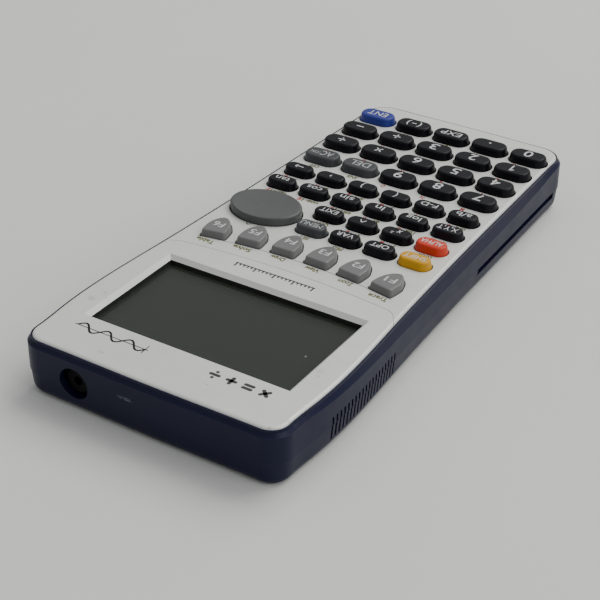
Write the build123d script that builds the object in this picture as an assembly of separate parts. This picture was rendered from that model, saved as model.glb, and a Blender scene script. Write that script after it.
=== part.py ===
from build123d import *
import math
import os

os.makedirs("parts", exist_ok=True)

# Graphing calculator lying on its back.  Millimetres.
# +X right and +Y towards the display when read upright, +Z out of the keys.
# z = 0 is the underside, x = y = 0 the middle of the case.

# ---------------------------------------------------------------- heights
FACE_Z = 17.2          # top of the two silver panels
PANEL_T = 1.2          # silver panel thickness
DECK_Z = FACE_Z - PANEL_T
DECK_T = 1.4           # top wall of the front case
UNDER_DECK_Z = DECK_Z - DECK_T
PARTING_Z = 7.2        # where the front and rear cases meet
BOARD_Z = 8.6          # underside of the circuit board
BOARD_T = 1.6
SHEET_Z = BOARD_Z + BOARD_T
SHEET_T = 0.8          # rubber sheet on the board
DOME_H = 0.7
FLOOR_T = 1.3          # floor of the rear case

# ---------------------------------------------------------------- outline
HALF_L = 86.45         # silver panel, half length
RIM = 1.3              # how far the case stands out past the panel
PANEL_GAP = 0.2        # the fine groove between the two panels
WALL = 1.8
REAR_STEP = 0.15       # the rear case is this much smaller at the parting line
CORNER_R_DISPLAY = 5.0
CORNER_R_KEYS = 7.0
END_BOW = 0.3
PANEL_EDGE_R = 1.05    # rolled edge of the silver panels
BOTTOM_R = 2.8
# Half widths of the silver panels along the case, y then x.
SIDE = [
    (-79.0, 34.0), (-70.0, 34.2), (-50.0, 34.9), (-30.0, 35.6), (-10.0, 36.4), (10.0, 37.4),
    (25.0, 38.3), (40.0, 39.4), (56.0, 40.2), (70.0, 39.9), (80.5, 39.2),
]
# Height of the crease where the rim's slope meets the side wall, y then z.
CREASE = [(80.0, 15.1), (70.0, 14.8), (57.0, 14.3), (30.0, 13.1), (4.0, 12.2), (-30.0, 12.4),
          (-56.0, 13.1), (-70.0, 14.1), (-79.0, 15.1)]
RIM_CHAMFER = 0.9
LIP = (0.05, 0.35, 16.8)   # thin lip round the panels: inner and outer offset, top
LIP_ROOT = 0.7          # how far the lip is sunk into the case
LIP_CHAMFER = 0.1
RIM_LEDGE = 0.25       # flat left between the panel and the rim's slope

# ---------------------------------------------------------------- display
WIN_X = 32.4           # half width of the bevelled opening at the face
WIN_Y0 = 32.3
WIN_Y1 = 70.1
WIN_BEVEL = 1.2
WINDOW_T = 1.2
LCD_T = 1.35
LCD_RIM = 3.0          # the module is this much wider than the opening, each side

# ---------------------------------------------------------------- keys
TRAVEL = 0.9
KEY_GAP = 0.35         # around each key, in its hole
FLANGE_TOP_GAP = 0.15
FLANGE_T = 0.9
FLANGE_OUT = 0.9
PLUNGER_R = 1.4
PLUNGER_Z = 12.9
TOP_TAPER = 11.0       # degrees, side walls of the caps
NUM_W, NUM_H, NUM_R, NUM_RISE = 12.2, 6.9, 3.2, 2.47
FUN_W, FUN_H, FUN_R, FUN_RISE = 9.9, 5.5, 2.6, 2.4
SOFT_W, SOFT_L, SOFT_RISE = 7.9, 9.6, 2.0
SOFT_CORNER_R = 0.9
SOFT_SHOULDER = 0.25    # part of the length before the nose begins
SOFT_POINTED = 1.15     # above 1 makes the nose more pointed than an ellipse
NUM_PITCH_X, NUM_PITCH_Y, NUM_TOP_Y = 13.55, 11.4, -40.2
FUN_PITCH_X, FUN_PITCH_Y, FUN_BOTTOM_Y = 11.3, 9.62, -28.6
SOFT_PITCH, SOFT_Y, SOFT_ARC = 11.35, 16.2, 2.6
STEP_ARC_W = 0.35
STEP_ARC_D = 0.22

NUM_ROWS = [
    ["key_7", "key_8", "key_9", "key_del", "key_ac_on"],
    ["key_4", "key_5", "key_6", "key_multiply", "key_divide"],
    ["key_1", "key_2", "key_3", "key_plus", "key_minus"],
    ["key_0", "key_point", "key_exp", "key_negative", "key_exe"],
]
# Function rows from the lowest up; the pad takes the last two places of the upper two.
FUN_ROWS = [
    ["key_fraction", "key_f_d", "key_bracket_open", "key_bracket_close", "key_comma", "key_arrow"],
    ["key_variable", "key_log", "key_ln", "key_sin", "key_cos", "key_tan"],
    ["key_alpha", "key_square", "key_power", "key_exit"],
    ["key_shift", "key_optn", "key_vars", "key_menu"],
]
SOFT_KEYS = ["key_f1", "key_f2", "key_f3", "key_f4", "key_f5", "key_f6"]

# ---------------------------------------------------------------- cursor pad
PAD_X, PAD_Y = 23.6, -3.1
PAD_A, PAD_B = 11.4, 8.5
PAD_RISE = 2.5
PAD_GAP = 0.4
PAD_SKIRT_T = 1.6
PAD_CEILING_Z = 16.9   # underside of the pad's top wall
PAD_FLANGE_Z0, PAD_FLANGE_Z1 = 13.1, 13.8
PIVOT_Z = 12.9
PIN_R = 0.5
PIN_CLEARANCE = 0.06
LUG_AT = 3.2           # middle of each lug from the pad's centre
LUG_T = 1.0
PIN_REACH = 3.9
PIVOT_BLOCK = 3.6
BRIDGE_Z0, BRIDGE_Z1 = 11.2, 11.8
BRIDGE_W = 5.0
HANGER_AT = 10.3       # hangers that carry the bridge, from the pad's centre along y
HANGER_T = 1.0

# ---------------------------------------------------------------- link port
PORT_X, PORT_Z, PORT_R = 22.3, 8.6, 4.6
JACK_BORE_R = 1.28
JACK_BORE_L = 11.0
JACK_FRONT_Y = 85.6
JACK_SIZE = (9.6, 12.0, 8.2)
JACK_NOSE_R = 3.4
JACK_NOSE_L = 1.4

# ---------------------------------------------------------------- batteries
CELL_R = 5.1
CELL_L = 43.6
NUB_R = 1.9
NUB_L = 0.9
CELL_PITCH = 10.8
CELL_X0 = -24.6
CELL_Y = 51.5
CELL_Z = 6.5
BAY_X0, BAY_X1 = -30.2, 13.4
BAY_Y0, BAY_Y1 = 28.9, 74.6
BAY_WALL = 1.0
COVER_X, COVER_Y0, COVER_Y1 = 31.0, 27.2, 76.2
COVER_Z0, COVER_T = 0.15, 1.0
COVER_GAP = 0.3
SCOOP_R = 14.0         # finger scoop, 0.8 deep at its middle

# ---------------------------------------------------------------- grips, rails, screws
RIB_COUNT, RIB_Y0, RIB_Y1 = 19, 31.6, 64.6
RIB_W, RIB_DEPTH = 0.8, 0.75
RIB_Z0, RIB_Z1 = 2.7, 9.6
RAIL_Y0, RAIL_Y1 = -78.0, -22.4
RAIL_Z0 = 4.9
RAIL_DEPTH = 1.9
RAIL_BACK = 3.4        # thickness of the wall behind the cover rails
SCREWS = [(-33.2, 80.0), (33.2, 80.0), (-33.4, 25.2), (33.4, 25.2), (-26.5, -81.8), (26.5, -81.8)]
BOSS_R = 2.3
SCREW_R = 1.0
SCREW_HEAD_R = 2.0
SCREW_HEAD_T = 1.1
SCREW_SINK = 0.6       # head top below the underside


def half_width(y):
    """Half width of the silver panels at y."""
    for (y0, x0), (y1, x1) in zip(SIDE, SIDE[1:]):
        if y <= y1:
            return x0 + (x1 - x0) * (y - y0) / (y1 - y0)
    return SIDE[-1][1]


def outline(offset, z):
    """Face at height z: the panel outline grown by offset."""
    r_top = CORNER_R_DISPLAY + offset
    r_low = CORNER_R_KEYS + offset
    x_top = SIDE[-1][1] + offset
    x_low = SIDE[0][1] + offset
    y_top = HALF_L + offset - END_BOW
    y_low = -y_top
    side_points = [(x_low, y_low + r_low)]
    side_points += [(x + offset, y) for y, x in SIDE[1:-1]]
    side_points += [(x_top, y_top - r_top)]
    right = Spline(*side_points, tangents=[(0, 1), (0, 1)])
    left = Spline(*[(-x, y) for x, y in reversed(side_points)], tangents=[(0, -1), (0, -1)])
    c45 = math.sqrt(0.5)
    corner_tr = ThreePointArc(
        (x_top, y_top - r_top),
        (x_top - r_top * (1 - c45), y_top - r_top * (1 - c45)),
        (x_top - r_top, y_top),
    )
    corner_tl = ThreePointArc(
        (r_top - x_top, y_top),
        (r_top * (1 - c45) - x_top, y_top - r_top * (1 - c45)),
        (-x_top, y_top - r_top),
    )
    corner_bl = ThreePointArc(
        (-x_low, y_low + r_low),
        (r_low * (1 - c45) - x_low, y_low + r_low * (1 - c45)),
        (r_low - x_low, y_low),
    )
    corner_br = ThreePointArc(
        (x_low - r_low, y_low),
        (x_low - r_low * (1 - c45), y_low + r_low * (1 - c45)),
        (x_low, y_low + r_low),
    )
    top = Spline((x_top - r_top, y_top), (0, y_top + END_BOW), (r_top - x_top, y_top), tangents=[(-1, 0), (-1, 0)])
    low = Spline((r_low - x_low, y_low), (0, y_low - END_BOW), (x_low - r_low, y_low), tangents=[(1, 0), (1, 0)])
    edges = [right, corner_tr, top, corner_tl, left, corner_bl, low, corner_br]
    return Pos(0, 0, z) * make_face(edges)


def prism(offset, z0, z1):
    """Upright solid of the outline grown by offset, between z0 and z1."""
    return extrude(outline(offset, z0), amount=z1 - z0)


def box(x0, x1, y0, y1, z0, z1):
    """Box between the given planes."""
    return Pos((x0 + x1) / 2, (y0 + y1) / 2, (z0 + z1) / 2) * Box(x1 - x0, y1 - y0, z1 - z0)


def post(x, y, r, z0, z1):
    """Upright cylinder between z0 and z1."""
    return Pos(x, y, (z0 + z1) / 2) * Cylinder(r, z1 - z0)


def rod(centre, axis, r, length):
    """Cylinder along X or Y with its middle at centre."""
    turn = Rot(0, 90, 0) if axis == "x" else Rot(90, 0, 0)
    return Pos(*centre) * turn * Cylinder(r, length)


def shell_of(parts):
    """Fuse a list of solids into one."""
    return parts[0].fuse(*parts[1:]) if len(parts) > 1 else parts[0]


# ---------------------------------------------------------------- key layout
def round_key(x, y, w, h, r, grow=0.0):
    """Flat outline of a rounded key cap, grown all round."""
    return Pos(x, y) * RectangleRounded(w + 2 * grow, h + 2 * grow, r + grow)


def soft_key(x, y, w, length, grow=0.0):
    """Flat outline of a shield-shaped key; y is its straight edge, the nose points to -Y.

    The key is turned so that its straight edge follows the arc of the row."""
    half = w / 2 + grow
    top = y + grow
    corner = SOFT_CORNER_R
    shoulder = top - SOFT_SHOULDER * length
    nose = y - length - grow
    nose_points = []
    for step in range(7):
        turn = math.pi * step / 6
        across = math.copysign(abs(math.cos(turn)) ** SOFT_POINTED, math.cos(turn))
        nose_points.append((x + half * across, shoulder + (nose - shoulder) * math.sin(turn)))
    c45 = corner * (1 - math.sqrt(0.5))
    edges = [
        Line((x - half + corner, top), (x + half - corner, top)),
        ThreePointArc((x + half - corner, top), (x + half - c45, top - c45), (x + half, top - corner)),
        Line((x + half, top - corner), (x + half, shoulder)),
        Spline(*nose_points, tangents=[(0, -1), (0, 1)]),
        Line((x - half, shoulder), (x - half, top - corner)),
        ThreePointArc((x - half, top - corner), (x - half + c45, top - c45), (x - half + corner, top)),
    ]
    slant = math.degrees(math.atan(2 * SOFT_ARC * x / (2.5 * SOFT_PITCH) ** 2))
    return make_face(edges).rotate(Axis((x, y - length / 2, 0), (0, 0, 1)), slant)


layout = []            # one entry per key: name, x, y, kind
for row, names in enumerate(NUM_ROWS):
    for col, name in enumerate(names):
        layout.append((name, NUM_PITCH_X * (col - 2), NUM_TOP_Y - row * NUM_PITCH_Y, "number"))
for row, names in enumerate(FUN_ROWS):
    for col, name in enumerate(names):
        layout.append((name, FUN_PITCH_X * (col - 2.5), FUN_BOTTOM_Y + row * FUN_PITCH_Y, "function"))
for col, name in enumerate(SOFT_KEYS):
    across = (col - 2.5) / 2.5
    layout.append((name, SOFT_PITCH * (col - 2.5), SOFT_Y + SOFT_ARC * across ** 2, "soft"))


def key_face(x, y, kind, grow=0.0):
    """Flat outline of any key."""
    if kind == "number":
        return round_key(x, y, NUM_W, NUM_H, NUM_R, grow)
    if kind == "function":
        return round_key(x, y, FUN_W, FUN_H, FUN_R, grow)
    return soft_key(x, y, SOFT_W, SOFT_L, grow)


def key_middle(x, y, kind):
    """Centre of a key's plunger."""
    return (x, y - SOFT_L * 0.42) if kind == "soft" else (x, y)


def holes(z0, z1, grow):
    """Upright solids through every key position and the pad."""
    tools = [extrude(Pos(0, 0, z0) * key_face(x, y, kind, grow), amount=z1 - z0) for _, x, y, kind in layout]
    pad_tool = Pos(PAD_X, PAD_Y, z0) * Ellipse(PAD_A + grow, PAD_B + grow)
    tools.append(extrude(pad_tool, amount=z1 - z0))
    return tools


# ---------------------------------------------------------------- keys
def make_key(x, y, kind):
    """Cap with tapered sides and a softened top edge, retaining flange and plunger."""
    rise = {"number": NUM_RISE, "function": FUN_RISE, "soft": SOFT_RISE}[kind]
    edge_r = {"number": 0.75, "function": 0.7, "soft": 0.55}[kind]
    flange_top = UNDER_DECK_Z - FLANGE_TOP_GAP
    base = key_face(x, y, kind)
    stem = extrude(Pos(0, 0, flange_top - 0.1) * base, amount=FACE_Z - flange_top + 0.1)
    draw_in = rise * math.tan(math.radians(TOP_TAPER))
    cap = loft([Pos(0, 0, FACE_Z) * base, Pos(0, 0, FACE_Z + rise) * key_face(x, y, kind, -draw_in)], ruled=True)
    top_edges = cap.faces().sort_by(Axis.Z)[-1].edges()
    cap = fillet(top_edges, edge_r)
    cx, cy = key_middle(x, y, kind)
    if kind == "number":
        plate = (NUM_W * 0.62, NUM_H + 2 * FLANGE_OUT)
    elif kind == "function":
        plate = (FUN_W * 0.62, FUN_H + 2 * FLANGE_OUT)
    else:
        plate = (SOFT_W + 2 * FLANGE_OUT, SOFT_L * 0.4)
    flange = Pos(cx, cy, flange_top - FLANGE_T / 2) * Box(plate[0], plate[1], FLANGE_T)
    plunger = post(cx, cy, PLUNGER_R, PLUNGER_Z, flange_top - FLANGE_T + 0.1)
    return shell_of([cap, stem, flange, plunger])


# ---------------------------------------------------------------- cursor pad and its gimbal
def make_pad():
    """Oval pad: dished top, hollow skirt with a flange, two lugs on the gimbal's Y pins."""
    at = Pos(PAD_X, PAD_Y, 0)
    top_z = FACE_Z + PAD_RISE
    body = extrude(Pos(0, 0, PAD_FLANGE_Z0) * Ellipse(PAD_A, PAD_B), amount=top_z - PAD_FLANGE_Z0)
    body = fillet(body.faces().sort_by(Axis.Z)[-1].edges(), 0.7)
    dish_r = 95.0
    dish_depth = 0.5
    body = body - Pos(0, 0, top_z - dish_depth + dish_r) * Sphere(dish_r)
    flange = extrude(Pos(0, 0, PAD_FLANGE_Z0) * Ellipse(PAD_A + FLANGE_OUT, PAD_B + FLANGE_OUT),
                     amount=PAD_FLANGE_Z1 - PAD_FLANGE_Z0)
    hollow = extrude(Pos(0, 0, PAD_FLANGE_Z0 - 1) * Ellipse(PAD_A - PAD_SKIRT_T, PAD_B - PAD_SKIRT_T),
                     amount=PAD_CEILING_Z - PAD_FLANGE_Z0 + 1)
    pad = (body + flange) - hollow
    for side in (-1, 1):
        y0 = side * LUG_AT - LUG_T / 2
        pad += box(-1.3, 1.3, y0, y0 + LUG_T, PIVOT_Z - 0.8, PAD_CEILING_Z + 0.5)
    pad -= rod((0, 0, PIVOT_Z), "y", PIN_R + PIN_CLEARANCE, 2 * LUG_AT + 2 * LUG_T)
    return at * pad


def make_pivot():
    """Gimbal block with a pair of pins along X and a pair along Y."""
    block = Pos(0, 0, PIVOT_Z) * Box(PIVOT_BLOCK, PIVOT_BLOCK, 1.5)
    block += rod((0, 0, PIVOT_Z), "x", PIN_R, 2 * PIN_REACH)
    block += rod((0, 0, PIVOT_Z), "y", PIN_R, 2 * PIN_REACH)
    return Pos(PAD_X, PAD_Y, 0) * block


def pad_bridge():
    """Bar under the pad, hung from the deck, with two lugs for the gimbal's X pins."""
    parts = [box(-BRIDGE_W / 2, BRIDGE_W / 2, -HANGER_AT - HANGER_T / 2, HANGER_AT + HANGER_T / 2,
                 BRIDGE_Z0, BRIDGE_Z1)]
    parts.append(box(-LUG_AT - LUG_T / 2, LUG_AT + LUG_T / 2, -1.3, 1.3, BRIDGE_Z0, BRIDGE_Z1))
    for side in (-1, 1):
        y0 = side * HANGER_AT - HANGER_T / 2
        parts.append(box(-BRIDGE_W / 2, BRIDGE_W / 2, y0, y0 + HANGER_T, BRIDGE_Z0, UNDER_DECK_Z + 0.2))
        x0 = side * LUG_AT - LUG_T / 2
        parts.append(box(x0, x0 + LUG_T, -1.3, 1.3, BRIDGE_Z0, PIVOT_Z + 1.1))
    bridge = shell_of(parts)
    bridge -= rod((0, 0, PIVOT_Z), "x", PIN_R + PIN_CLEARANCE, 2 * LUG_AT + 2 * LUG_T)
    return Pos(PAD_X, PAD_Y, 0) * bridge


# ---------------------------------------------------------------- silver panels
def display_region(shift):
    """Area of the display panel, its lower border moved along y by shift."""
    s = shift
    border = [
        ThreePointArc((-34.0, 25.0 + s), (0, 22.6 + s), (34.0, 25.0 + s)),
        ThreePointArc((34.0, 25.0 + s), (35.7, 25.9 + s), (36.9, 27.6 + s)),
        Line((36.9, 27.6 + s), (46.0, 41.5 + s)),
        Line((46.0, 41.5 + s), (46.0, 100.0)),
        Line((46.0, 100.0), (-46.0, 100.0)),
        Line((-46.0, 100.0), (-46.0, 41.5 + s)),
        Line((-46.0, 41.5 + s), (-36.9, 27.6 + s)),
        ThreePointArc((-36.9, 27.6 + s), (-35.7, 25.9 + s), (-34.0, 25.0 + s)),
    ]
    return extrude(Pos(0, 0, DECK_Z - 1) * make_face(border), amount=PANEL_T + 2)


panel = prism(0, DECK_Z, FACE_Z)
panel = fillet(panel.faces().sort_by(Axis.Z)[-1].edges(), PANEL_EDGE_R)

window_top = Rectangle(2 * WIN_X, WIN_Y1 - WIN_Y0)
window_low = Rectangle(2 * (WIN_X - WIN_BEVEL), WIN_Y1 - WIN_Y0 - 2 * WIN_BEVEL)
window_mid_y = (WIN_Y0 + WIN_Y1) / 2
bevel_tool = loft([
    Pos(0, window_mid_y, DECK_Z) * window_low,
    Pos(0, window_mid_y, FACE_Z) * window_top,
], ruled=True)
display_bezel = (panel & display_region(PANEL_GAP / 2)) - bevel_tool

keypad_panel = panel - display_region(-PANEL_GAP / 2)
keypad_panel = keypad_panel.cut(*holes(DECK_Z - 0.1, FACE_Z + 0.1, KEY_GAP))
step_mid = SOFT_Y + 0.2
step_end = SOFT_Y + 0.2 + SOFT_ARC * (32.0 / 28.4) ** 2
step_ring = make_face([
    ThreePointArc((-32.0, step_end), (0, step_mid), (32.0, step_end)),
    Line((32.0, step_end), (32.0, step_end + STEP_ARC_W)),
    ThreePointArc((32.0, step_end + STEP_ARC_W), (0, step_mid + STEP_ARC_W), (-32.0, step_end + STEP_ARC_W)),
    Line((-32.0, step_end + STEP_ARC_W), (-32.0, step_end)),
])
keypad_panel -= extrude(Pos(0, 0, FACE_Z - STEP_ARC_D) * step_ring, amount=1)

# ---------------------------------------------------------------- front case
front_case = prism(RIM, PARTING_Z, DECK_Z)
front_case = chamfer(front_case.faces().sort_by(Axis.Z)[-1].edges(), RIM_CHAMFER)
for side in (-1, 1):
    sections = []
    for y, crease_z in CREASE:
        x = half_width(y)
        inner = (x + RIM_LEDGE, DECK_Z + 0.05)
        slope = (crease_z - inner[1]) / (RIM - RIM_LEDGE)
        outer = (inner[0] + 1.6, inner[1] + 1.6 * slope)
        corner = [inner, outer, (outer[0], inner[1])]
        sections.append(Face(Wire.make_polygon([Vector(side * px, y, pz) for px, pz in corner])))
    front_case -= loft(sections)
front_case -= prism(RIM - WALL, PARTING_Z - 1, UNDER_DECK_Z)
lip = prism(LIP[1], DECK_Z - LIP_ROOT, LIP[2])
lip = chamfer(lip.faces().sort_by(Axis.Z)[-1].edges(), LIP_CHAMFER)
front_case += lip - prism(LIP[0], DECK_Z - LIP_ROOT - 1, LIP[2] + 1)
front_case -= box(-WIN_X + WIN_BEVEL, WIN_X - WIN_BEVEL, WIN_Y0 + WIN_BEVEL, WIN_Y1 - WIN_BEVEL,
                  UNDER_DECK_Z - 1, DECK_Z + 1)
front_case = front_case.cut(*holes(UNDER_DECK_Z - 0.1, DECK_Z + 0.1, KEY_GAP))
front_case += pad_bridge()
for x, y in SCREWS:
    front_case += post(x, y, BOSS_R, PARTING_Z + 0.1, UNDER_DECK_Z + 0.1)
    front_case -= post(x, y, SCREW_R, PARTING_Z, UNDER_DECK_Z - 1.5)

# ---------------------------------------------------------------- rear case
rear_outer = loft([outline(RIM - REAR_STEP, PARTING_Z), outline(RIM - REAR_STEP - 0.7, 0)], ruled=True)
rear_outer = fillet(rear_outer.faces().sort_by(Axis.Z)[0].edges(), BOTTOM_R)
rear_case = rear_outer - prism(RIM - WALL - 0.8, FLOOR_T, PARTING_Z + 1)
# Thick walls behind the rails of the slide-on lid.
for side in (-1, 1):
    wall_zone = box(side * 25 - 15, side * 25 + 15, RAIL_Y0 - 1.5, RAIL_Y1 + 1.5, FLOOR_T - 0.1, PARTING_Z)
    rail_wall = (wall_zone & prism(RIM - REAR_STEP - 0.9, FLOOR_T - 0.1, PARTING_Z))
    rail_wall -= prism(RIM - REAR_STEP - RAIL_BACK, FLOOR_T - 0.2, PARTING_Z + 0.1)
    rear_case += rail_wall
rail_ring = prism(RIM + 1, RAIL_Z0, PARTING_Z + 0.1) - prism(RIM - REAR_STEP - RAIL_DEPTH, RAIL_Z0 - 1, PARTING_Z + 1)
for side in (-1, 1):
    rear_case -= rail_ring & box(side * 32 - 12, side * 32 + 12, RAIL_Y0, RAIL_Y1, RAIL_Z0, PARTING_Z + 0.1)
# Battery bay: walls, then the opening under the lid and the lid's recess.
bay = box(BAY_X0 - BAY_WALL, BAY_X1 + BAY_WALL, BAY_Y0 - BAY_WALL, BAY_Y1 + BAY_WALL, FLOOR_T - 0.1, PARTING_Z)
lid_shelf = box(-COVER_X - 1.2, COVER_X + 1.2, COVER_Y0 - 1.2, COVER_Y1 + 1.2, FLOOR_T - 0.1, FLOOR_T + 1.0)
rear_case += bay
rear_case += lid_shelf
for x, y in SCREWS:
    rear_case += post(x, y, BOSS_R + 0.3, 0.5, PARTING_Z)
rear_case -= box(BAY_X0, BAY_X1, BAY_Y0, BAY_Y1, -1, PARTING_Z + 1)
rear_case -= box(-COVER_X - COVER_GAP, COVER_X + COVER_GAP, COVER_Y0 - COVER_GAP, COVER_Y1 + COVER_GAP, -1, FLOOR_T)
for x, y in SCREWS:
    rear_case -= post(x, y, SCREW_HEAD_R + 0.25, -1, SCREW_SINK + SCREW_HEAD_T)
    rear_case -= post(x, y, SCREW_R + 0.15, 0, PARTING_Z + 1)
# Finger scoop at the lid's edge and a shallow field for a rating label.
rear_case -= Pos(0, COVER_Y0 - 0.5, 0.8 - SCOOP_R) * Sphere(SCOOP_R)
rear_case -= box(-20, 20, -62, -30, -1, 0.2)

# Link port through the display end, half in each case.
port = rod((PORT_X, HALF_L, PORT_Z), "y", PORT_R, 12)
front_case -= port
rear_case -= port
# Grip grooves beside the display, both sides, across the parting line.
ribs = []
for i in range(RIB_COUNT):
    y = RIB_Y0 + (RIB_Y1 - RIB_Y0) * i / (RIB_COUNT - 1)
    outer_x = half_width(y) + RIM
    for side in (-1, 1):
        x0, x1 = sorted((side * (outer_x - RIB_DEPTH), side * (outer_x + 2)))
        ribs.append(box(x0, x1, y - RIB_W / 2, y + RIB_W / 2, RIB_Z0, RIB_Z1))
front_case = front_case.cut(*ribs)
rear_case = rear_case.cut(*ribs)

# ---------------------------------------------------------------- battery cover and cells
battery_cover = box(-COVER_X, COVER_X, COVER_Y0, COVER_Y1, COVER_Z0, COVER_Z0 + COVER_T)
battery_cover = fillet(battery_cover.edges().filter_by(Axis.Z), 1.5)
for i in range(7):
    y = COVER_Y0 + 4 + i * 1.6
    battery_cover -= box(-9, 9, y, y + 0.7, COVER_Z0 - 1, COVER_Z0 + 0.3)

cells = []
for i in range(4):
    x = CELL_X0 + CELL_PITCH * i
    end = 1 if i % 2 == 0 else -1
    can = rod((x, CELL_Y - end * NUB_L / 2, CELL_Z), "y", CELL_R, CELL_L)
    can = fillet(can.edges().filter_by(GeomType.CIRCLE), 0.4)
    nub = rod((x, CELL_Y + end * (CELL_L / 2), CELL_Z), "y", NUB_R, NUB_L + 0.1)
    cells.append(can + nub)
battery_cells = Compound(children=cells)

# ---------------------------------------------------------------- display stack
deck_win = (WIN_X - WIN_BEVEL, WIN_Y0 + WIN_BEVEL, WIN_Y1 - WIN_BEVEL)
display_window = box(-deck_win[0] - 2, deck_win[0] + 2, deck_win[1] - 1.5, deck_win[2] + 1.5,
                     UNDER_DECK_Z - WINDOW_T, UNDER_DECK_Z)
LCD_TOP_Z = UNDER_DECK_Z - WINDOW_T - 0.05
lcd_module = box(-deck_win[0] - LCD_RIM, deck_win[0] + LCD_RIM, deck_win[1] - 2.2, deck_win[2] + 2.2,
                 LCD_TOP_Z - LCD_T, LCD_TOP_Z)
lcd_module -= box(-deck_win[0] + 0.6, deck_win[0] - 0.6, deck_win[1] + 0.6, deck_win[2] - 0.6,
                  LCD_TOP_Z - 0.25, LCD_TOP_Z + 1)

# ---------------------------------------------------------------- board, rubber sheet, jack
circuit_board = box(-32.0, 32.0, -79.0, 21.5, BOARD_Z, BOARD_Z + BOARD_T)
circuit_board += box(15.5, 30.3, 20.0, 84.0, BOARD_Z, BOARD_Z + BOARD_T)
circuit_board = fillet(circuit_board.edges().filter_by(Axis.Z), 0.6)
circuit_board += box(-9, 9, -30, -12, BOARD_Z - 1.6, BOARD_Z + 0.1)
circuit_board += box(14, 22, -34, -29, BOARD_Z - 2.2, BOARD_Z + 0.1)
for x in (-22, -17, 26):
    circuit_board += post(x, -20, 1.7, BOARD_Z - 3.2, BOARD_Z + 0.1)
jack_y0 = JACK_FRONT_Y - JACK_NOSE_L - JACK_SIZE[1]
circuit_board -= box(PORT_X - JACK_SIZE[0] / 2 - 0.1, PORT_X + JACK_SIZE[0] / 2 + 0.1, jack_y0 - 0.1, 90,
                     BOARD_Z - 1, BOARD_Z + BOARD_T + 1)

key_membrane = box(-32.5, 32.5, -79.4, 22.0, SHEET_Z, SHEET_Z + SHEET_T)
key_membrane = fillet(key_membrane.edges().filter_by(Axis.Z), 1.0)
for name, x, y, kind in layout:
    cx, cy = key_middle(x, y, kind)
    key_membrane += post(cx, cy, 2.1, SHEET_Z, SHEET_Z + SHEET_T + DOME_H)
for dx, dy in ((9.2, 0), (-9.2, 0), (0, 7.0), (0, -7.0)):
    if dx:
        key_membrane += post(PAD_X + dx, PAD_Y + dy, 1.5, SHEET_Z, SHEET_Z + SHEET_T + DOME_H)

link_jack = Pos(PORT_X, jack_y0 + JACK_SIZE[1] / 2, PORT_Z) * Box(*JACK_SIZE)
link_jack = fillet(link_jack.edges().filter_by(Axis.Y), 0.5)
link_jack += rod((PORT_X, JACK_FRONT_Y - JACK_NOSE_L / 2 - 0.1, PORT_Z), "y", JACK_NOSE_R, JACK_NOSE_L + 0.2)
link_jack -= rod((PORT_X, JACK_FRONT_Y - JACK_BORE_L / 2 + 0.05, PORT_Z), "y", JACK_BORE_R, JACK_BORE_L + 0.1)

# ---------------------------------------------------------------- case screws
screws = []
for x, y in SCREWS:
    head = post(x, y, SCREW_HEAD_R, SCREW_SINK, SCREW_SINK + SCREW_HEAD_T)
    head = fillet(head.faces().sort_by(Axis.Z)[0].edges(), 0.35)
    shank = post(x, y, SCREW_R - 0.02, SCREW_SINK + SCREW_HEAD_T - 0.1, 12.0)
    slot = Pos(x, y, SCREW_SINK) * (Box(2.4, 0.5, 1.2) + Box(0.5, 2.4, 1.2))
    screws.append(head + shank - slot)
case_screws = Compound(children=screws)

# ---------------------------------------------------------------- files
nodes = {
    "front_case": front_case,
    "rear_case": rear_case,
    "display_bezel": display_bezel,
    "keypad_panel": keypad_panel,
    "display_window": display_window,
    "lcd_module": lcd_module,
    "key_membrane": key_membrane,
    "circuit_board": circuit_board,
    "link_jack": link_jack,
    "battery_cover": battery_cover,
    "battery_cells": battery_cells,
    "case_screws": case_screws,
    "cursor_pad": make_pad(),
    "pad_pivot": make_pivot(),
}
for name, x, y, kind in layout:
    nodes[name] = make_key(x, y, kind)
for name, shape in nodes.items():
    export_step(shape, f"parts/{name}.step")
    print(name, "solids", len(shape.solids()), "volume", round(shape.volume, 2), "valid", shape.is_valid)
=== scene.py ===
import math
import random

import bmesh
import bpy
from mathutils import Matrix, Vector


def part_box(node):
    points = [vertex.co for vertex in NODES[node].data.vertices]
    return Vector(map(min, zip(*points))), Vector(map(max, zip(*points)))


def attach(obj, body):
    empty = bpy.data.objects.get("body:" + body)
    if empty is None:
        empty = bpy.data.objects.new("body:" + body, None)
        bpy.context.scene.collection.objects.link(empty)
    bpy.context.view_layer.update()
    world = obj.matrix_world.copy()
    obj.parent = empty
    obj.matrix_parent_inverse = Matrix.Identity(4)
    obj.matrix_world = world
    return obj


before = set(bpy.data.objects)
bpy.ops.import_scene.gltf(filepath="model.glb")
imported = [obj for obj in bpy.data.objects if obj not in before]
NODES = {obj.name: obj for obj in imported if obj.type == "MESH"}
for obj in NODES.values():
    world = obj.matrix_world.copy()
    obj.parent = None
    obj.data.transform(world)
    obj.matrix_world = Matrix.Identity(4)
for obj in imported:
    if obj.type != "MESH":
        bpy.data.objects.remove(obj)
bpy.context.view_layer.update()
random.seed(11)
MM = 0.001

FACE_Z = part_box("keypad_panel")[1].z
PRINT_LIFT = 0.006 * MM        # printed marks stand this far off their surface
PRINT_THICK = 0.010 * MM


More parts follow.
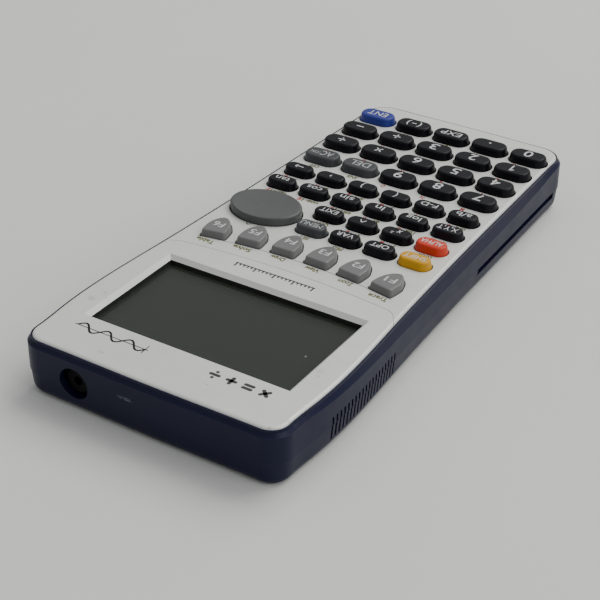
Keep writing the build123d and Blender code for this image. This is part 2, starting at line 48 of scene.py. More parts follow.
# ---------------------------------------------------------------- node helpers
class Shader:
    """A material's node tree with short calls for the nodes used here."""

    def __init__(self, name, **constants):
        self.mat = bpy.data.materials.new(name)
        self.mat.use_nodes = True
        self.tree = self.mat.node_tree
        self.bsdf = self.tree.nodes["Principled BSDF"]
        self.coord = self.tree.nodes.new("ShaderNodeTexCoord").outputs["Object"]
        for key, value in constants.items():
            self.bsdf.inputs[key.replace("_", " ")].default_value = value

    def add(self, kind, **props):
        node = self.tree.nodes.new(kind)
        for key, value in props.items():
            setattr(node, key, value)
        return node

    def link(self, out, socket):
        self.tree.links.new(out, socket)

    def feed(self, socket, value):
        if isinstance(value, bpy.types.NodeSocket):
            self.link(value, socket)
        else:
            socket.default_value = value

    def noise(self, scale, detail=3.0, rough=0.55, stretch=None):
        node = self.add("ShaderNodeTexNoise")
        node.inputs["Scale"].default_value = scale
        node.inputs["Detail"].default_value = detail
        node.inputs["Roughness"].default_value = rough
        self.link(self.stretched(stretch) if stretch else self.coord, node.inputs["Vector"])
        return node.outputs["Fac"]

    def stretched(self, scale):
        node = self.add("ShaderNodeMapping")
        node.inputs["Scale"].default_value = scale
        self.link(self.coord, node.inputs["Vector"])
        return node.outputs["Vector"]

    def cells(self, scale):
        node = self.add("ShaderNodeTexVoronoi", feature="F1")
        node.inputs["Scale"].default_value = scale
        self.link(self.coord, node.inputs["Vector"])
        return node.outputs["Distance"]

    def span(self, value, low, high, to_low=0.0, to_high=1.0):
        node = self.add("ShaderNodeMapRange", clamp=True)
        self.feed(node.inputs["Value"], value)
        node.inputs["From Min"].default_value = low
        node.inputs["From Max"].default_value = high
        node.inputs["To Min"].default_value = to_low
        node.inputs["To Max"].default_value = to_high
        return node.outputs["Result"]

    def calc(self, op, a, b=0.0):
        node = self.add("ShaderNodeMath", operation=op)
        self.feed(node.inputs[0], a)
        self.feed(node.inputs[1], b)
        return node.outputs[0]

    def mix(self, fac, a, b):
        node = self.add("ShaderNodeMix", data_type="RGBA")
        self.feed(node.inputs["Factor"], fac)
        self.feed(node.inputs["A"], a if isinstance(a, bpy.types.NodeSocket) else (*a, 1.0))
        self.feed(node.inputs["B"], b if isinstance(b, bpy.types.NodeSocket) else (*b, 1.0))
        return node.outputs["Result"]

    def axis(self, name):
        node = self.add("ShaderNodeSeparateXYZ")
        self.link(self.coord, node.inputs[0])
        return node.outputs[name]

    def offset(self, name, middle=0.0):
        """Distance along an axis from a coordinate on it."""
        return self.calc("ABSOLUTE", self.calc("SUBTRACT", self.axis(name), middle))

    def edges(self, radius=0.35 * MM, low=0.02, high=0.22):
        """1 on the rounded-over edges, 0 on the flats, from how far a bevelled normal leans away."""
        soft = self.add("ShaderNodeBevel", samples=4)
        soft.inputs["Radius"].default_value = radius
        flat = self.add("ShaderNodeNewGeometry")
        dot = self.add("ShaderNodeVectorMath", operation="DOT_PRODUCT")
        self.link(soft.outputs["Normal"], dot.inputs[0])
        self.link(flat.outputs["Normal"], dot.inputs[1])
        return self.span(self.calc("SUBTRACT", 1.0, dot.outputs["Value"]), low, high)

    def spot(self, centre, radius):
        """1 near a point, falling to 0 at radius."""
        node = self.add("ShaderNodeVectorMath", operation="DISTANCE")
        self.link(self.coord, node.inputs[0])
        node.inputs[1].default_value = centre
        return self.span(node.outputs["Value"], 0.0, radius, 1.0, 0.0)

    def bump(self, height, distance, strength=1.0, under=None):
        node = self.add("ShaderNodeBump")
        node.inputs["Strength"].default_value = strength
        node.inputs["Distance"].default_value = distance
        self.link(height, node.inputs["Height"])
        if under is not None:
            self.link(under, node.inputs["Normal"])
        return node.outputs["Normal"]

    def finish(self, color=None, rough=None, normal=None):
        if color is not None:
            self.feed(self.bsdf.inputs["Base Color"], color)
        if rough is not None:
            self.feed(self.bsdf.inputs["Roughness"], rough)
        if normal is not None:
            self.link(normal, self.bsdf.inputs["Normal"])
        return self.mat


def scaled(color, k):
    return tuple(min(1.0, c * k) for c in color)


def moulded(name, color, rough=0.42, grain=5200.0, wear_and_sheen=0.25, wear_and_sheen_color=None, mottling=0.10, **extra):
    """Moulded plastic: fine grain, faint mottling, scuffs on the edges and a painted sheen there."""
    s = Shader(name, **extra)
    broad = s.noise(70.0, 4.0)
    fine = s.noise(grain, 2.0, 0.6)
    base = s.mix(s.span(broad, 0.3, 0.7), scaled(color, 1 - mottling), scaled(color, 1 + mottling))
    grime = s.noise(900.0, 5.0, 0.7)
    base = s.mix(s.span(grime, 0.62, 0.80, 0.0, 0.35), base, scaled(color, 0.6))
    # Edges are lightened: partly scuffs, partly a painted sheen.
    worn_and_sheen = s.calc("MULTIPLY", s.edges(), s.span(s.noise(420.0, 4.0), 0.42, 0.66))
    worn_and_sheen = s.calc("MULTIPLY", worn_and_sheen, wear_and_sheen)
    base = s.mix(worn_and_sheen, base, wear_and_sheen_color or scaled(color, 2.2))
    roughness = s.span(s.noise(260.0, 5.0, 0.65), 0.3, 0.7, rough - 0.06, rough + 0.08)
    hair = s.noise(60.0, 6.0, 0.7, stretch=(6.0, 90.0, 6.0))
    normal = s.bump(fine, 0.012 * MM, 0.55)
    normal = s.bump(s.span(hair, 0.60, 0.66), 0.004 * MM, 0.25, normal)
    return s.finish(base, roughness, normal)


# ---------------------------------------------------------------- materials
# Chips and dirty spots in the silver paint: x, y and reach in millimetres, then how dark.
CHIPS = (
    (-27.5, 74.6, 1.0, 0.8), (-36.2, 85.4, 0.9, 0.7), (-38.6, 80.6, 0.7, 0.6),
    (-31.8, 68.0, 0.8, 0.5), (35.6, 62.8, 1.6, 0.6), (34.6, 58.6, 0.9, 0.45),
    (17.4, 81.9, 1.1, 0.35), (-33.6, 58.6, 1.5, 0.4), (-34.6, 61.0, 1.0, 0.35),
)


def silver_paint():
    """Satin silver-white paint on plastic, with a fine metallic sparkle, grime and small chips."""
    s = Shader("silver_paint", Metallic=0.12, IOR=1.5)
    light, dark = (0.62, 0.628, 0.598), (0.590, 0.598, 0.568)
    base = s.mix(s.span(s.noise(28.0, 4.0), 0.35, 0.65), dark, light)
    flake = s.cells(9000.0)
    base = s.mix(s.span(flake, 0.0, 0.5, 0.16, 0.0), base, (0.80, 0.80, 0.78))
    smudge = s.calc("MULTIPLY", s.span(s.noise(240.0, 6.0, 0.7), 0.56, 0.78), 0.22)
    base = s.mix(smudge, base, (0.36, 0.355, 0.33))
    # Small dark specks in loose groups.
    specks = s.span(s.cells(300.0), 0.045, 0.085, 1.0, 0.0)
    rare = s.span(s.noise(85.0, 2.0), 0.56, 0.62)
    specks = s.calc("MULTIPLY", specks, rare)
    marks = None
    for x, y, reach, dark in CHIPS:
        spot = s.calc("MULTIPLY", s.spot((x * MM, y * MM, FACE_Z), reach * MM), dark)
        marks = spot if marks is None else s.calc("MAXIMUM", marks, spot)
    marks = s.calc("MULTIPLY", marks, s.span(s.noise(1300.0, 4.0, 0.7), 0.40, 0.52))
    dirt = s.calc("MAXIMUM", specks, marks)
    base = s.mix(s.calc("MULTIPLY", dirt, 0.9), base, (0.16, 0.155, 0.14))
    rough = s.span(s.noise(300.0, 5.0), 0.3, 0.7, 0.34, 0.46)
    normal = s.bump(s.noise(7000.0, 2.0), 0.010 * MM, 0.5)
    normal = s.bump(dirt, 0.02 * MM, 0.5, normal)
    return s.finish(base, rough, normal)


def navy_case():
    """Deep navy satin shell with edges lightened by wear and a painted sheen, a scuff on the display end, and
    painted shade inside the display opening.
    """
    color = (0.0058, 0.0070, 0.0275)
    s = Shader("navy_case", IOR=1.38, Specular_IOR_Level=0.28)
    base = s.mix(s.span(s.noise(45.0, 4.0), 0.3, 0.7), scaled(color, 0.92), scaled(color, 1.08))
    dust = s.span(s.noise(1300.0, 6.0, 0.75), 0.66, 0.80, 0.0, 0.30)
    base = s.mix(dust, base, (0.045, 0.050, 0.075))
    # Edges are lightened: partly real wear, partly a painted sheen.
    worn_and_sheen = s.calc("MULTIPLY", s.edges(), s.span(s.noise(500.0, 4.0), 0.40, 0.62, 0.15, 1.0))
    base = s.mix(s.calc("MULTIPLY", worn_and_sheen, 0.35), base, (0.060, 0.065, 0.12))
    # The scuff is a low, wide patch of the end wall, broken into streaks.
    scuff_x, scuff_z, wall_y = 5.0 * MM, 10.8 * MM, 84.0 * MM
    reach = s.span(s.offset("X", scuff_x), 1.6 * MM, 3.4 * MM, 1.0, 0.0)
    height = s.span(s.offset("Z", scuff_z), 0.15 * MM, 0.55 * MM, 1.0, 0.0)
    end_wall = s.calc("GREATER_THAN", s.axis("Y"), wall_y)
    streak = s.span(s.noise(900.0, 5.0, 0.7, stretch=(0.6, 1.0, 1.6)), 0.46, 0.56)
    scuff = s.calc("MULTIPLY", s.calc("MULTIPLY", reach, height), s.calc("MULTIPLY", streak, end_wall))
    base = s.mix(s.calc("MULTIPLY", scuff, 0.9), base, (0.16, 0.165, 0.19))
    # The inside of the display opening gets painted shade, a near-black standing in for the dark of its recess.
    low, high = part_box("display_window")
    across = s.calc("LESS_THAN", s.offset("X"), high.x)
    along = s.calc("LESS_THAN", s.offset("Y", (low.y + high.y) / 2), (high.y - low.y) / 2)
    opening_shade = s.calc("MULTIPLY", across, along)
    opening_shade = s.calc("MULTIPLY", opening_shade, s.calc("GREATER_THAN", s.axis("Z"), low.z - 0.1 * MM))
    base = s.mix(opening_shade, base, (0.022, 0.024, 0.021))
    rough = s.span(s.noise(240.0, 5.0, 0.65), 0.3, 0.7, 0.33, 0.41)
    normal = s.bump(s.noise(4300.0, 2.0, 0.6), 0.008 * MM, 0.3)
    normal = s.bump(scuff, 0.02 * MM, 0.5, normal)
    return s.finish(base, rough, normal)


def clear_window():
    """Clear plastic window, thin enough to show the display, with hairline scratches."""
    s = Shader("clear_window", IOR=1.42, Alpha=0.55)
    hair = s.noise(50.0, 6.0, 0.75, stretch=(5.0, 70.0, 5.0))
    scratch = s.span(hair, 0.655, 0.675)
    nick = s.spot((-25.3 * MM, 52.0 * MM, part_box("display_window")[1].z), 0.5 * MM)
    marks = s.calc("MAXIMUM", s.calc("MULTIPLY", scratch, 0.12), nick)
    base = s.mix(marks, (0.043, 0.049, 0.040), (0.5, 0.5, 0.48))
    rough = s.span(s.noise(180.0, 5.0), 0.3, 0.7, 0.10, 0.16)
    normal = s.bump(scratch, 0.003 * MM, 0.2)
    s.mat.surface_render_method = "BLENDED"
    return s.finish(base, rough, normal)


def display_glass():
    """Display switched off: grey-green film over a fine dot grid."""
    s = Shader("display_glass", IOR=1.45)
    pitch, dot = 0.46 * MM, 0.86       # dot pitch, and the share of it that a dot fills
    gaps = [
        s.calc("GREATER_THAN", s.calc("FRACT", s.calc("DIVIDE", s.axis(name), pitch)), dot)
        for name in ("X", "Y")
    ]
    grid = s.calc("MAXIMUM", *gaps)
    base = s.mix(s.span(s.noise(22.0, 3.0), 0.3, 0.7), (0.050, 0.054, 0.045), (0.056, 0.060, 0.051))
    base = s.mix(s.calc("MULTIPLY", grid, 0.06), base, (0.10, 0.11, 0.095))
    rough = s.span(s.noise(400.0, 3.0), 0.3, 0.7, 0.50, 0.60)
    return s.finish(base, rough, s.bump(s.noise(5000.0, 2.0), 0.004 * MM, 0.3))


def printed(name, color, rough=0.5):
    """Printing ink, a little thin and uneven."""
    s = Shader(name)
    base = s.mix(s.span(s.noise(2600.0, 4.0, 0.7), 0.40, 0.72), color, scaled(color, 0.72))
    return s.finish(base, s.span(s.noise(700.0, 3.0), 0.3, 0.7, rough - 0.06, rough + 0.08))


def board_mask():
    """Green solder mask with the ghost of copper tracks."""
    s = Shader("board_mask", IOR=1.5)
    track_pitch = 1.3 * MM
    tracks = s.calc("GREATER_THAN", s.calc("FRACT", s.calc("DIVIDE", s.axis("X"), track_pitch)), 0.55)
    cross = s.calc("GREATER_THAN", s.noise(160.0, 1.0), 0.52)
    base = s.mix(s.calc("MULTIPLY", tracks, cross), (0.014, 0.075, 0.030), (0.030, 0.13, 0.055))
    rough = s.span(s.noise(500.0), 0.3, 0.7, 0.28, 0.40)
    return s.finish(base, rough, s.bump(s.noise(2500.0), 0.01 * MM, 0.5))


def cell_sleeve():
    """Printed sleeve with bare steel at both ends."""
    s = Shader("cell_sleeve", Metallic=0.6)
    low, high = (corner.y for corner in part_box("battery_cells"))
    bare_end, band_half = 2.2 * MM, 9.0 * MM
    y = s.axis("Y")
    top = s.calc("GREATER_THAN", y, high - bare_end)
    foot = s.calc("LESS_THAN", y, low + bare_end)
    steel = s.calc("MAXIMUM", top, foot)
    band = s.calc("LESS_THAN", s.offset("Y", (low + high) / 2), band_half)
    sleeve = s.mix(band, (0.030, 0.032, 0.036), (0.42, 0.26, 0.05))
    grain = s.noise(900.0, 4.0)
    sleeve = s.mix(s.span(grain, 0.4, 0.7, 0.0, 0.15), sleeve, (0.12, 0.12, 0.12))
    base = s.mix(steel, sleeve, (0.55, 0.55, 0.54))
    return s.finish(base, s.span(grain, 0.3, 0.7, 0.24, 0.36), s.bump(grain, 0.005 * MM, 0.4))


def bare_steel():
    """Zinc-plated screw steel with turning marks."""
    s = Shader("bare_steel", Metallic=1.0)
    brushed = s.noise(900.0, 4.0, 0.6, stretch=(1.0, 6.0, 1.0))
    base = s.mix(s.span(brushed, 0.35, 0.65), (0.38, 0.38, 0.39), (0.56, 0.56, 0.56))
    return s.finish(base, s.span(brushed, 0.3, 0.7, 0.26, 0.42), s.bump(brushed, 0.008 * MM, 0.5))


NAVY = navy_case()
SILVER = silver_paint()
BLACK_KEY = moulded("key_black_plastic", (0.0028, 0.0028, 0.0050), rough=0.36, wear_and_sheen=0.30,
                    wear_and_sheen_color=(0.040, 0.040, 0.048), Specular_IOR_Level=0.16)
FINISH = {
    "front_case": NAVY,
    "rear_case": NAVY,
    "battery_cover": NAVY,
    "display_bezel": SILVER,
    "keypad_panel": SILVER,
    "display_window": clear_window(),
    "lcd_module": display_glass(),
    "key_membrane": moulded("silicone_sheet", (0.30, 0.31, 0.33), rough=0.62, grain=2200.0, wear_and_sheen=0.0),
    "circuit_board": board_mask(),
    "link_jack": moulded("jack_plastic", (0.0022, 0.0022, 0.0025), rough=0.55, wear_and_sheen=0.0, IOR=1.2),
    "battery_cells": cell_sleeve(),
    "case_screws": bare_steel(),
    "cursor_pad": moulded("pad_plastic", (0.078, 0.082, 0.081), rough=0.42, wear_and_sheen=0.2, mottling=0.05,
                          Specular_IOR_Level=0.25),
    "pad_pivot": moulded("acetal", (0.62, 0.62, 0.58), rough=0.45),
}
DARK_GREY_KEY = moulded("key_dark_grey_plastic", (0.045, 0.048, 0.051), rough=0.40, wear_and_sheen=0.25,
                        Specular_IOR_Level=0.25)
GREY_KEY = moulded("key_grey_plastic", (0.138, 0.137, 0.137), rough=0.38, wear_and_sheen=0.15, mottling=0.05,
                   Specular_IOR_Level=0.3)
COLOURED = {
    "key_shift": moulded("key_amber_plastic", (0.520, 0.265, 0.006), rough=0.38, wear_and_sheen=0.2,
                         wear_and_sheen_color=(0.62, 0.42, 0.08), mottling=0.05, Specular_IOR_Level=0.25),
    "key_alpha": moulded("key_red_plastic", (0.510, 0.036, 0.016), rough=0.38, wear_and_sheen=0.2,
                         wear_and_sheen_color=(0.60, 0.15, 0.09), mottling=0.05, Specular_IOR_Level=0.25),
    "key_exe": moulded("key_blue_plastic", (0.022, 0.032, 0.215), rough=0.38, wear_and_sheen=0.2,
                       wear_and_sheen_color=(0.09, 0.12, 0.38), mottling=0.05, Specular_IOR_Level=0.25),
    "key_del": DARK_GREY_KEY,
    "key_ac_on": DARK_GREY_KEY,
    "key_menu": DARK_GREY_KEY,
}
for number in range(1, 7):
    COLOURED[f"key_f{number}"] = GREY_KEY
INK_WHITE = printed("ink_white", (0.58, 0.58, 0.58))
INK_GREY = printed("ink_grey", (0.40, 0.40, 0.40))
INK_BLACK = printed("ink_black", (0.022, 0.022, 0.024))
INK_YELLOW = printed("ink_yellow", (0.105, 0.100, 0.004))
INK_RED = printed("ink_red", (0.42, 0.016, 0.012))

for name, node in NODES.items():
    node.data.materials.clear()
    node.data.materials.append(FINISH.get(name) or COLOURED.get(name) or BLACK_KEY)


# ---------------------------------------------------------------- printed marks
FONT_CAP = 0.70        # cap height of the font at size 1
END_STEPS = 9          # steps round each half-round end of a stroke


def lettering(name, body, text, x, y, z, height, ink, width=None, bold=0.0, slant=0.0):
    """Text flat on an upward face, about a point. Cap height and set width are in millimetres."""
    curve = bpy.data.curves.new(name + "_curve", "FONT")
    curve.body = text
    curve.size = 1.0
    curve.align_x = "CENTER"
    curve.shear = slant
    curve.resolution_u = 4
    curve.offset = bold
    holder = bpy.data.objects.new(name + "_holder", curve)
    bpy.context.scene.collection.objects.link(holder)
    bpy.context.view_layer.update()
    graph = bpy.context.evaluated_depsgraph_get()
    mesh = bpy.data.meshes.new_from_object(holder.evaluated_get(graph))
    bpy.data.objects.remove(holder)
    xs = [v.co.x for v in mesh.vertices]
    ys = [v.co.y for v in mesh.vertices]
    grow_y = height * MM / FONT_CAP
    grow_x = width * MM / (max(xs) - min(xs)) if width else grow_y
    mid_x = (max(xs) + min(xs)) / 2
    mid_y = FONT_CAP / 2 if any(c.isalnum() for c in text) else (max(ys) + min(ys)) / 2
    for v in mesh.vertices:
        v.co = Vector((x + (v.co.x - mid_x) * grow_x, y + (v.co.y - mid_y) * grow_y, z))
    printed_piece(name, body, mesh, ink)


def printed_piece(name, body, mesh, ink, facing=1):
    """Stands a flat mesh just off its surface, facing up or down, and fixes it to a body."""
    mesh.name = name
    bm = bmesh.new()
    bm.from_mesh(mesh)
    for v in bm.verts:
        v.co.z += facing * (PRINT_LIFT + PRINT_THICK)
    if facing < 0:
        bmesh.ops.reverse_faces(bm, faces=bm.faces)
    bm.to_mesh(mesh)
    bm.free()
    piece = bpy.data.objects.new(name, mesh)
    bpy.context.scene.collection.objects.link(piece)
    mesh.materials.clear()
    mesh.materials.append(ink)
    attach(piece, body)


def strokes(name, body, x, y, z, bars, ink, facing=1):
    """Flat round-ended bars about a point.

    Each bar is centre x, centre y, length and width in millimetres, then its turn in degrees.
    """
    bm = bmesh.new()
    for *sizes, turn in bars:
        bx, by, length, width = (size * MM for size in sizes)
        cos_turn, sin_turn = math.cos(math.radians(turn)), math.sin(math.radians(turn))
        radius = width / 2
        end = length / 2 - radius
        outline = []
        for side in (1, -1):
            for k in range(END_STEPS + 1):
                a = math.pi * (k / END_STEPS) - side * math.pi / 2
                outline.append((side * end + radius * math.cos(a), radius * math.sin(a)))
        bm.faces.new([
            bm.verts.new((x + bx + px * cos_turn - py * sin_turn, y + by + px * sin_turn + py * cos_turn, z))
            for px, py in outline
        ])
    mesh = bpy.data.meshes.new(name)
    bm.to_mesh(mesh)
    bm.free()
    printed_piece(name, body, mesh, ink, facing)


def key_body(name):
    return "press_" + name[4:]


def middle(name):
    low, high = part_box(name)
    return (low.x + high.x) / 2, (low.y + high.y) / 2


def key_spot(name):
    """Middle of a key's cap and the height of its top."""
    return *middle(name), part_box(name)[1].z


# Words and digits on the keys: text, cap height and set width.
LEGENDS = {f"key_{digit}": (digit, 3.7, 2.7) for digit in "023456789"}
LEGENDS.update({
    "key_del": ("DEL", 2.9, 6.8), "key_exp": ("EXP", 2.7, 7.0), "key_exe": ("ENT", 2.7, 6.8),
    "key_variable": ("X,Y,T", 2.2, 6.4), "key_log": ("log", 2.3, 4.8), "key_ln": ("ln", 2.4, 2.9),
    "key_sin": ("sin", 2.3, 4.6), "key_cos": ("cos", 2.3, 5.0), "key_tan": ("tan", 2.3, 4.8),
    "key_fraction": ("a/b", 2.3, 4.8), "key_f_d": ("F-D", 2.1, 5.4),
    "key_bracket_open": ("(", 2.6, None), "key_bracket_close": (")", 2.6, None),
    "key_comma": (",", 3.2, None), "key_exit": ("EXIT", 2.1, 5.8), "key_shift": ("SHIFT", 2.1, 6.8),
    "key_optn": ("OPT", 2.1, 5.6), "key_vars": ("VAR", 2.1, 5.6), "key_menu": ("MENU", 2.1, 6.8),
    "key_alpha": ("ALPHA", 2.1, 6.9),
})
GREY_LEGENDS = ("key_del", "key_menu")

# Signs drawn on the keys as strokes.
BAR = 0.48
ARM = 2.7
SIGNS = {
    "key_1": [(0.2, 0, 3.7, 0.52, 90), (-0.35, 1.28, 1.45, 0.5, 38)],
    "key_plus": [(0, 0, ARM, BAR, 0), (0, 0, ARM, BAR, 90)],
    "key_minus": [(0, 0, ARM, BAR, 0)],
    "key_multiply": [(0, 0, 3.0, BAR, 45), (0, 0, 3.0, BAR, -45)],
    "key_divide": [(0, 0, ARM, BAR, 0), (0, 0.95, 0.62, 0.6, 0), (0, -0.95, 0.62, 0.6, 0)],
    "key_point": [(0, -0.5, 0.75, 0.72, 0)],
    "key_arrow": [(0, 0, 3.0, 0.36, 0), (1.1, 0.36, 1.2, 0.34, -40), (1.1, -0.36, 1.2, 0.34, 40)],
    "key_power": [(-0.5, 0, 1.7, 0.34, 58), (0.5, 0, 1.7, 0.34, -58)],
    "key_negative": [(0, 0, 1.7, 0.42, 0)],
}
SOFT_KEYS = [f"key_f{number}" for number in range(1, 7)]
SOFT_LEGEND_DROP = 5.2 * MM      # from a soft key's display edge to its legend


def key_legends():
    """What is printed on the keys themselves."""
    for name, (text, height, width) in LEGENDS.items():
        ink = INK_GREY if name in GREY_LEGENDS else INK_WHITE
        lettering("legend_" + name[4:], key_body(name), text, *key_spot(name), height, ink, width, bold=0.004)
    for name in SOFT_KEYS:
        x, _, z = key_spot(name)
        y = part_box(name)[1].y - SOFT_LEGEND_DROP
        lettering("legend_" + name[4:], key_body(name), name[4:].upper(), x, y, z, 2.5, INK_WHITE, 3.4,
                  bold=0.006)

    x, y, z = key_spot("key_ac_on")
    body = key_body("key_ac_on")
    lettering("legend_ac", body, "AC", x - 1.5 * MM, y, z, 2.8, INK_GREY, 4.2, bold=0.004)
    lettering("legend_on", body, "/ON", x + 2.4 * MM, y + 0.4 * MM, z, 1.5, INK_GREY, 3.0)
    x, y, z = key_spot("key_square")
    body = key_body("key_square")
    lettering("legend_square_x", body, "x", x - 0.7 * MM, y, z, 2.4, INK_WHITE, 1.7, bold=0.010, slant=0.25)
    lettering("legend_square_2", body, "2", x + 1.1 * MM, y + 0.9 * MM, z, 1.2, INK_WHITE, 0.9)

    for name, bars in SIGNS.items():
        strokes("legend_" + name[4:], key_body(name), *key_spot(name), bars, INK_WHITE)
    x, y, z = key_spot("key_negative")
    for word, bracket, shift in (("open", "(", -2.0 * MM), ("close", ")", 2.0 * MM)):
        lettering("legend_negative_" + word, key_body("key_negative"), bracket, x + shift, y, z, 2.7,
                  INK_WHITE, bold=0.01)


# Second functions on the panel above the keys: a word in yellow, a letter in red.
SOFT_WORDS = ("Trace", "Zoom", "View", "Draw", "Solve", "Table")
SECOND = {
    "key_vars": ("PRG", None), "key_menu": ("SET", None), "key_alpha": ("LOCK", None),
    "key_square": ("r", "1"), "key_power": ("x", "2"), "key_exit": ("QUIT", None),
    "key_variable": ("<", "A"), "key_log": ("10x", "B"), "key_ln": ("ex", "C"), "key_sin": ("sin-1", "D"),
    "key_cos": ("cos-1", "E"), "key_tan": ("tan-1", "F"),
    "key_fraction": ("d/c", "G"), "key_f_d": ("=", "H"), "key_bracket_open": ("3", "I"),
    "key_bracket_close": ("x-1", "J"), "key_comma": (";", "K"), "key_arrow": (":", "L"),
    "key_7": (None, "M"), "key_8": (None, "N"), "key_9": (None, "O"), "key_del": ("INS", None),
    "key_ac_on": ("OFF", None),
    "key_4": (None, "P"), "key_5": (None, "Q"), "key_6": (None, "R"), "key_multiply": (None, "S"),
    "key_divide": (None, "T"),
    "key_1": (None, "U"), "key_2": (None, "V"), "key_3": (None, "W"), "key_plus": (None, "X"),
    "key_minus": (None, "Y"),
    "key_0": (None, "Z"), "key_point": ("=", None), "key_exp": ("pi", None), "key_negative": ("Ans", None),
}
SMALL_PRINT_BOLD = 0.035
SOFT_WORD_RISE = 1.75 * MM       # from a soft key's display edge to its word
LARGE_KEY_WIDTH = 11 * MM        # wider keys than this are the large ones
LARGE_CAP_HALF = 3.45 * MM
SMALL_CAP_HALF = 2.75 * MM
SECOND_RISE = 1.55 * MM          # from a cap's edge to the print above it
WORD_SHIFT = 1.2 * MM            # a word moves left where a letter shares its key
LETTER_SHIFT = 2.6 * MM


def panel_prints():
    """What is printed on the panel above the keys."""
    for name, word in zip(SOFT_KEYS, SOFT_WORDS):
        x, _ = middle(name)
        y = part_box(name)[1].y + SOFT_WORD_RISE
        lettering("print_" + name[4:], "case", word, x, y, FACE_Z, 1.7, INK_YELLOW, 1.2 * len(word),
                  bold=SMALL_PRINT_BOLD)
    for name, (word, letter) in SECOND.items():
        low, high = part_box(name)
        x, y = middle(name)
        y += (LARGE_CAP_HALF if high.x - low.x > LARGE_KEY_WIDTH else SMALL_CAP_HALF) + SECOND_RISE
        if word:
            left = WORD_SHIFT if letter else 0.0
            lettering("print_" + name[4:], "case", word, x - left, y, FACE_Z, 1.6, INK_YELLOW, 1.1 * len(word),
                      bold=SMALL_PRINT_BOLD)
        if letter:
            lettering("letter_" + name[4:], "case", letter, x + LETTER_SHIFT, y, FACE_Z, 1.6, INK_RED, 1.25,
                      bold=SMALL_PRINT_BOLD)


def mark_operators():
    """Four arithmetic signs in a row."""
    bold, step = 1.05, 5.0
    signs = (
        [(0, 0, 3.6, bold, 45), (0, 0, 3.6, bold, -45)],
        [(0, 0.7, 3.3, bold, 0), (0, -0.7, 3.3, bold, 0)],
        [(0, 0, 3.4, bold, 0), (0, 0, 3.4, bold, 90)],
        [(0, 0, 3.4, bold, 0), (0, 1.3, 1.0, 0.95, 0), (0, -1.3, 1.0, 0.95, 0)],
    )
    row = [(bx + (place - 1.5) * step, *rest) for place, bars in enumerate(signs) for bx, *rest in bars]
    strokes("mark_operators", "case", -20.3 * MM, 74.3 * MM, FACE_Z, row, INK_BLACK)


def mark_wave():
    """Three periods of a sine wave plotted over its axes."""
    half, height, periods, steps, axis_line = 11.0, 1.5, 3, 48, 0.32
    bars = [(0, 0, 2 * half + 2.0, axis_line, 0), (-half, 0, 3.6, axis_line, 90)]
    corners = [
        (-half + 2 * half * k / steps, height * math.sin(k / steps * periods * 2 * math.pi))
        for k in range(steps + 1)
    ]
    for (ax, ay), (bx, by) in zip(corners, corners[1:]):
        length = math.hypot(bx - ax, by - ay) + 0.4
        bars.append(((ax + bx) / 2, (ay + by) / 2, length, 0.62, math.degrees(math.atan2(by - ay, bx - ax))))
    strokes("mark_wave", "case", 19.5 * MM, 74.8 * MM, FACE_Z, bars, INK_BLACK)


def mark_ruler():
    """A line with 21 ticks, every fifth one long."""
    line_y, pitch, count = -0.75, 1.25, 21
    ticks = [(0, line_y, 26.0, 0.45, 0)]
    for k in range(count):
        tall = 1.9 if k % 5 == 0 else 1.0
        ticks.append(((k - count // 2) * pitch, line_y + tall / 2, tall, 0.5, 90))
    strokes("mark_ruler", "case", 1.0 * MM, 27.0 * MM, FACE_Z, ticks, INK_BLACK)


def pad_arrows():
    """Small arrow heads round the cursor pad."""
    pad_x, pad_y = middle("cursor_pad")
    back, spread, lean = -0.45, 0.42, 43
    for name, dx, dy, turn in (("left", -12.9, 0, 180), ("up", 0, 9.9, 90), ("down", 0, -9.9, -90)):
        a = math.radians(turn)
        head = [
            (back * math.cos(a) - side * spread * math.sin(a), back * math.sin(a) + side * spread * math.cos(a),
             1.35, 0.34, turn - side * lean)
            for side in (-1, 1)
        ]
        strokes("arrow_" + name, "case", pad_x + dx * MM, pad_y + dy * MM, FACE_Z, head, INK_BLACK)


def flat_sheet(name, left, right, near, far, z):
    mesh = bpy.data.meshes.new(name)
    mesh.from_pydata([(left, near, z), (right, near, z), (right, far, z), (left, far, z)], [], [(0, 1, 2, 3)])
    return mesh


def rating_label():
    """Silver sticker in its field on the underside, with lines where the small print goes."""
    field_z, half_width, near, far = 0.2 * MM, 19.4 * MM, -61.4 * MM, -30.6 * MM
    foil = moulded("label_foil", (0.46, 0.46, 0.45), rough=0.34, grain=3000.0, wear_and_sheen=0.0, mottling=0.06,
                   Metallic=0.5)
    printed_piece("rating_label", "case", flat_sheet("rating_label", -half_width, half_width, near, far, field_z),
                  foil, facing=-1)

    print_left, print_right, rows, row_pitch, word_gap = -16.5, 13.0, 6, 2.3, 0.9
    bars = [(0, 11.6, 33.0, 1.5, 0)]
    for row in range(rows):
        start = print_left
        while start < print_right:
            length = random.uniform(1.6, 5.2)
            bars.append((start + length / 2, 7.0 - row_pitch * row, length, 0.8, 0))
            start += length + word_gap
    for k in range(34):
        bars.append((k + print_left, -10.8, 4.6, random.choice((0.25, 0.45, 0.6)), 90))
    strokes("rating_small_print", "case", 0, (near + far) / 2, field_z - 0.02 * MM, bars, INK_BLACK, facing=-1)


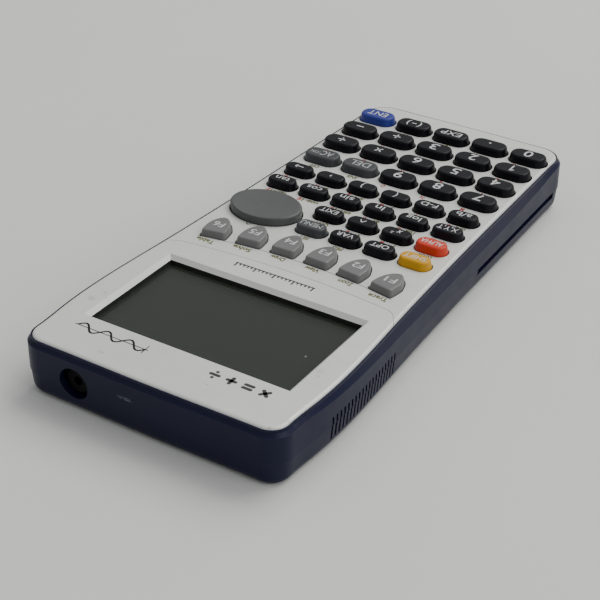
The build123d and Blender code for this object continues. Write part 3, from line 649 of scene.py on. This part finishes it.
key_legends()
panel_prints()
mark_operators()
mark_wave()
mark_ruler()
pad_arrows()
rating_label()


# ---------------------------------------------------------------- floor, light, camera
def paper_floor():
    """Off-white paper, a hair under the case so that the two never share a plane."""
    reach, floor_z = 4, -0.02 * MM
    mesh = flat_sheet("floor", -reach, reach, -reach, reach, floor_z)
    floor = bpy.data.objects.new("floor", mesh)
    bpy.context.scene.collection.objects.link(floor)
    s = Shader("floor_paper")
    tone = s.mix(s.span(s.noise(9.0, 3.0), 0.3, 0.7), (0.615, 0.622, 0.598), (0.640, 0.647, 0.622))
    mesh.materials.append(s.finish(tone, 0.85, s.bump(s.noise(900.0, 3.0), 0.02 * MM, 0.3)))


def surroundings(color, strength):
    world = bpy.data.worlds.new("studio")
    world.use_nodes = True
    background = world.node_tree.nodes["Background"]
    background.inputs["Color"].default_value = (*color, 1.0)
    background.inputs["Strength"].default_value = strength
    bpy.context.scene.world = world


def area_light(name, place, size, power, color=(1.0, 1.0, 1.0)):
    """Soft rectangular light aimed at the origin."""
    data = bpy.data.lights.new(name, "AREA")
    data.shape = "RECTANGLE"
    data.size, data.size_y = size
    data.energy = power
    data.color = color
    light = bpy.data.objects.new(name, data)
    bpy.context.scene.collection.objects.link(light)
    light.location = place
    light.rotation_euler = (-Vector(place)).to_track_quat("-Z", "Y").to_euler()


def photo_camera(place, angles, lens):
    """The photograph's viewpoint, with its angles in degrees."""
    data = bpy.data.cameras.new("camera")
    data.lens = lens
    data.sensor_width = 36.0
    data.clip_start = 0.01
    camera = bpy.data.objects.new("camera", data)
    bpy.context.scene.collection.objects.link(camera)
    camera.location = place
    camera.rotation_euler = tuple(math.radians(a) for a in angles)
    bpy.context.scene.camera = camera


paper_floor()
surroundings((0.97, 0.985, 1.0), 0.52)
area_light("soft_back", (-0.30, -0.95, 1.35), (1.5, 1.1), 24.5, (1.0, 0.992, 0.965))
area_light("soft_side", (-1.3, 0.1, 0.9), (0.9, 0.9), 7.0)
photo_camera((-0.20016, 0.32899, 0.23582), (58.056, -0.219, -147.333), 92.8)
